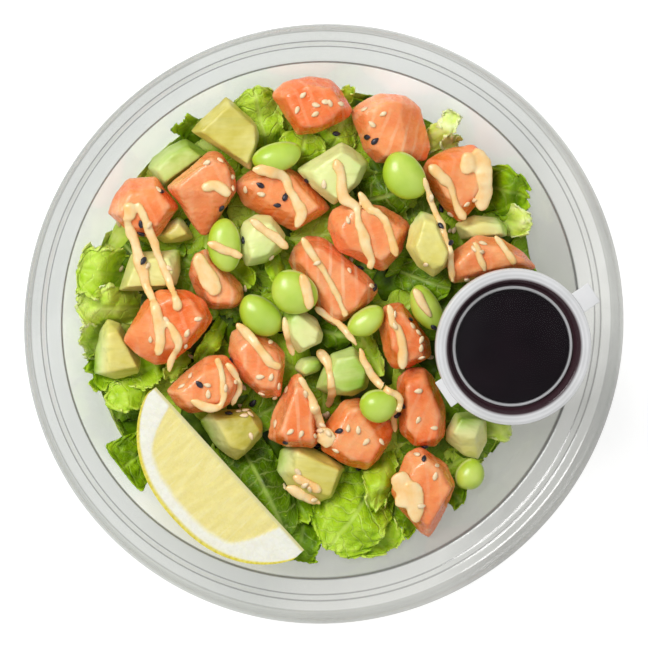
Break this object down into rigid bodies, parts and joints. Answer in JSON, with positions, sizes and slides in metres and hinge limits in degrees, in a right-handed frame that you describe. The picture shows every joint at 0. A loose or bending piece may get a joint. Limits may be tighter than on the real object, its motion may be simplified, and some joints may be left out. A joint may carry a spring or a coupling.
{
  "type": "salmon poke bowl",
  "caption": "Clear round take-away tub of torn salad leaves topped with raw salmon chunks, avocado, edamame, a lemon wedge, mayonnaise, sesame and a lidded pot of soy sauce",
  "frame": {"origin": "centre of the tub's foot, on the plane that the tub stands on", "axes": "+Z up along the tub's axis; seen from above, +X is to the right with the sauce pot and +Y is up, away from the lemon wedge"},
  "size_m": [0.2008, 0.2008, 0.063],
  "materials": {
    "clear_plastic": "clear thin plastic, smooth",
    "milky_plastic": "milky see-through plastic",
    "soy_sauce": "near-black wet liquid",
    "raw_salmon": "moist orange-pink flesh",
    "avocado_flesh": "soft buttery flesh, yellow to green",
    "edamame_skin": "smooth bright green bean skin",
    "lemon_flesh": "wet pale yellow flesh with white pith",
    "salad_leaf": "fresh green leaf"
  },
  "bodies": {
    "root": {"avocado_01": "avocado_flesh", "avocado_02": "avocado_flesh", "avocado_03": "avocado_flesh", "avocado_04": "avocado_flesh", "avocado_05": "avocado_flesh", "avocado_06": "avocado_flesh", "avocado_07": "avocado_flesh", "avocado_08": "avocado_flesh", "avocado_09": "avocado_flesh", "avocado_10": "avocado_flesh", "avocado_11": "avocado_flesh", "avocado_12": "avocado_flesh", "avocado_13": "avocado_flesh", "avocado_14": "avocado_flesh", "avocado_15": "avocado_flesh", "edamame_1": "edamame_skin", "edamame_2": "edamame_skin", "edamame_3": "edamame_skin", "edamame_4": "edamame_skin", "edamame_5": "edamame_skin", "edamame_6": "edamame_skin", "edamame_7": "edamame_skin", "edamame_8": "edamame_skin", "edamame_9": "edamame_skin", "lemon_wedge": "lemon_flesh", "salad_leaves": "salad_leaf", "salmon_01": "raw_salmon", "salmon_02": "raw_salmon", "salmon_03": "raw_salmon", "salmon_04": "raw_salmon", "salmon_05": "raw_salmon", "salmon_06": "raw_salmon", "salmon_07": "raw_salmon", "salmon_08": "raw_salmon", "salmon_09": "raw_salmon", "salmon_10": "raw_salmon", "salmon_11": "raw_salmon", "salmon_12": "raw_salmon", "salmon_13": "raw_salmon", "salmon_14": "raw_salmon", "salmon_15": "raw_salmon", "salmon_16": "raw_salmon", "salmon_17": "raw_salmon", "salmon_18": "raw_salmon", "sauce_pot_cup": "milky_plastic", "sauce_pot_lid": "milky_plastic", "soy_sauce": "soy_sauce", "tub": "clear_plastic"}
  },
  "joints": []
}
